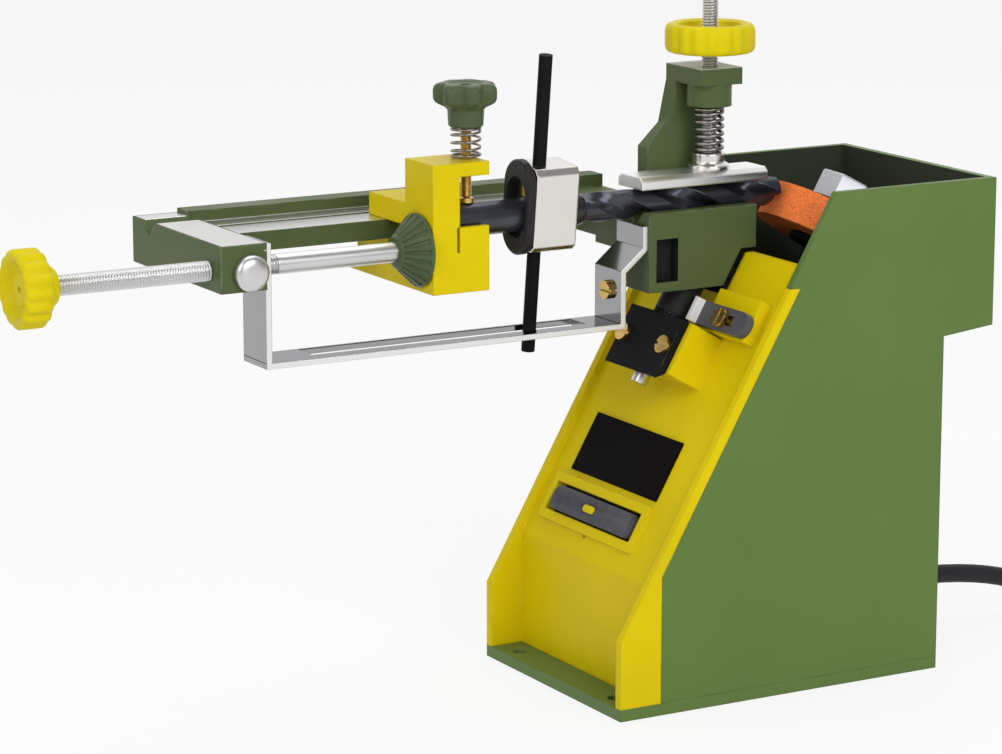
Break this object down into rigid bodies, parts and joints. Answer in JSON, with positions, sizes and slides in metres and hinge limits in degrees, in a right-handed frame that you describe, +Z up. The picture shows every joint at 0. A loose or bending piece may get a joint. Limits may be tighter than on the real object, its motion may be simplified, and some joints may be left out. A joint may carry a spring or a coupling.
{
  "type": "drill bit sharpener",
  "caption": "Bench drill bit sharpener: wedge-shaped housing with an open grinding wheel, and a swinging arm that clamps, indexes and feeds a twist drill to it.",
  "frame": {"origin": "centre of the base plate on the surface that it stands on", "axes": "+X to the back of the housing, away from the arm; +Y to the far side, away from the feed screw; +Z up"},
  "size_m": [0.5721, 0.1596, 0.246],
  "materials": {
    "green_paint": "semi-gloss enamel",
    "yellow_paint": "semi-gloss enamel",
    "black_steel": "satin black",
    "label_black": "anodised black, bare",
    "grey_plastic": "satin",
    "black_plastic": "matte",
    "green_plastic": "satin",
    "yellow_plastic": "gloss",
    "bright_steel": "ground",
    "blued_steel": "steam blued",
    "spring_steel": "drawn",
    "chrome_plate": "polished",
    "nickel_plate": "polished",
    "bright_alloy": "milled",
    "brass": "turned",
    "wheel_grit": "bonded abrasive",
    "iron_core": "laminated",
    "cord_rubber": "matte"
  },
  "bodies": {
    "housing": {"base_plate": "green_paint", "housing_shell": "green_paint", "front_casting": "yellow_paint", "label_plate": "label_black", "hinge_bracket": "black_steel", "hinge_screws": "brass", "pivot_pin": "bright_steel", "thrust_washer": "brass", "rocker_pin": "bright_steel", "switch_body": "black_plastic", "stop_screw": "brass", "motor_can": "black_steel", "bearings": "bright_steel", "stator": "iron_core", "motor_shelf": "black_steel", "cable_gland": "cord_rubber", "mains_cord": "cord_rubber", "cord_coil": "cord_rubber", "mains_plug": "black_plastic"},
    "wheel": {"spindle": "bright_steel", "grinding_wheel": "wheel_grit", "wheel_flanges": "bright_steel", "wheel_nut": "bright_steel", "rotor": "iron_core", "cooling_fan": "black_plastic"},
    "arm": {"arm_casting": "green_paint", "pivot_bush": "brass", "clamp_column": "green_paint", "column_bolts": "black_steel", "index_strip": "chrome_plate", "strip_screw": "brass", "lock_bolt": "nickel_plate", "clamp_spring": "spring_steel"},
    "clamp": {"clamp_plate": "bright_alloy", "clamp_stud": "bright_steel", "clamp_ferrule": "nickel_plate"},
    "clamp_wheel": {"handwheel": "yellow_plastic"},
    "tailstock": {"tailstock": "yellow_paint", "saddle_gib": "brass", "drill_bit": "blued_steel", "dog_ring": "black_plastic", "dog_collar": "nickel_plate", "dog_rods": "black_steel", "star_spring": "spring_steel"},
    "feed": {"feed_screw": "bright_steel", "feed_knob": "yellow_plastic", "feed_dial": "green_plastic"},
    "pad": {"clamp_pad": "brass"},
    "star": {"star_screw": "brass", "star_knob": "green_plastic"},
    "stop": {"swing_stop": "grey_plastic"},
    "switch": {"rocker": "grey_plastic"}
  },
  "joints": [
    {"name": "wheel_spin", "type": "hinge", "parent": "housing", "child": "wheel", "pos_m": [0.04836, 0, 0.15856], "axis": [0.5, 0, 0.866], "continuous": true},
    {"name": "arm_swing", "type": "hinge", "parent": "housing", "child": "arm", "pos_m": [-0.01601, 0, 0.13626], "axis": [0.5, 0, 0.866], "range_deg": [-22, 22]},
    {"name": "handwheel_turn", "type": "hinge", "parent": "arm", "child": "clamp_wheel", "pos_m": [-0.0032, 0, 0.23], "axis": [0, 0, 1], "range_deg": [-2160, 0]},
    {"name": "clamp_lift", "type": "slide", "parent": "arm", "child": "clamp", "axis": [0, 0, 1], "range_m": [0, 0.006], "deforming": ["clamp_spring"]},
    {"name": "tailstock_slide", "type": "slide", "parent": "arm", "child": "tailstock", "axis": [1, 0, 0], "range_m": [-0.012, 0]},
    {"name": "feed_turn", "type": "hinge", "parent": "tailstock", "child": "feed", "pos_m": [-0.2, 0, 0.165], "axis": [1, 0, 0], "range_deg": [-4320, 0]},
    {"name": "pad_lift", "type": "slide", "parent": "tailstock", "child": "pad", "axis": [0, 0, 1], "range_m": [0, 0.0049], "deforming": ["star_spring"]},
    {"name": "star_turn", "type": "hinge", "parent": "pad", "child": "star", "pos_m": [-0.1026, 0, 0.21], "axis": [0, 0, 1], "range_deg": [0, 2520]},
    {"name": "stop_slide", "type": "slide", "parent": "housing", "child": "stop", "axis": [0, 1, 0], "range_m": [-0.002, 0.002]},
    {"name": "rocker_tilt", "type": "hinge", "parent": "housing", "child": "switch", "pos_m": [-0.04597, 0.006, 0.06118], "axis": [0.5, 0, 0.866], "range_deg": [-4, 4]}
  ],
  "couplings": [
    {"joint": "feed_turn", "follows": "tailstock_slide", "rad_per_m": 6283.2},
    {"joint": "handwheel_turn", "follows": "clamp_lift", "rad_per_m": -6283.2},
    {"joint": "star_turn", "follows": "pad_lift", "rad_per_m": 8976}
  ]
}
